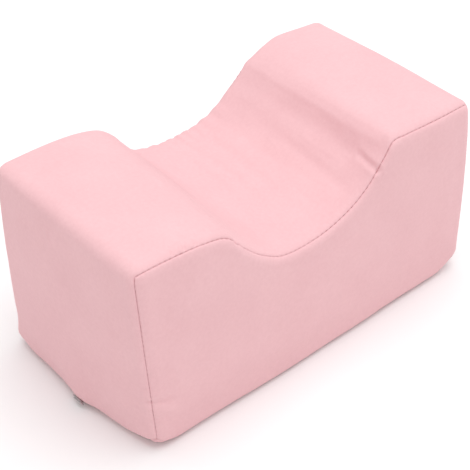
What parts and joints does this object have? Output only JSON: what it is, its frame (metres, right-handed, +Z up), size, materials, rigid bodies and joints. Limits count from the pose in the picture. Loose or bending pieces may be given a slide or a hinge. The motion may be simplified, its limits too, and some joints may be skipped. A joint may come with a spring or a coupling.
{
  "type": "leg elevation pillow",
  "caption": "Foam block pillow in a sewn fabric cover, with a rounded channel across its top that holds the legs or knees up and apart.",
  "frame": {"origin": "middle of the base, on the surface that the pillow rests on", "axes": "+Z up, X along the pillow's length with the end that shows the zip's slider at -X, -Y towards the seamed front panel, legs lie along Y"},
  "size_m": [0.3049, 0.154, 0.1537],
  "materials": {
    "cover_pink": "soft brushed knit, matt with a faint sheen",
    "zip_metal": "satin grey zip slider"
  },
  "bodies": {
    "root": {"pillow": "cover_pink", "zip_slider": "zip_metal"}
  },
  "joints": []
}
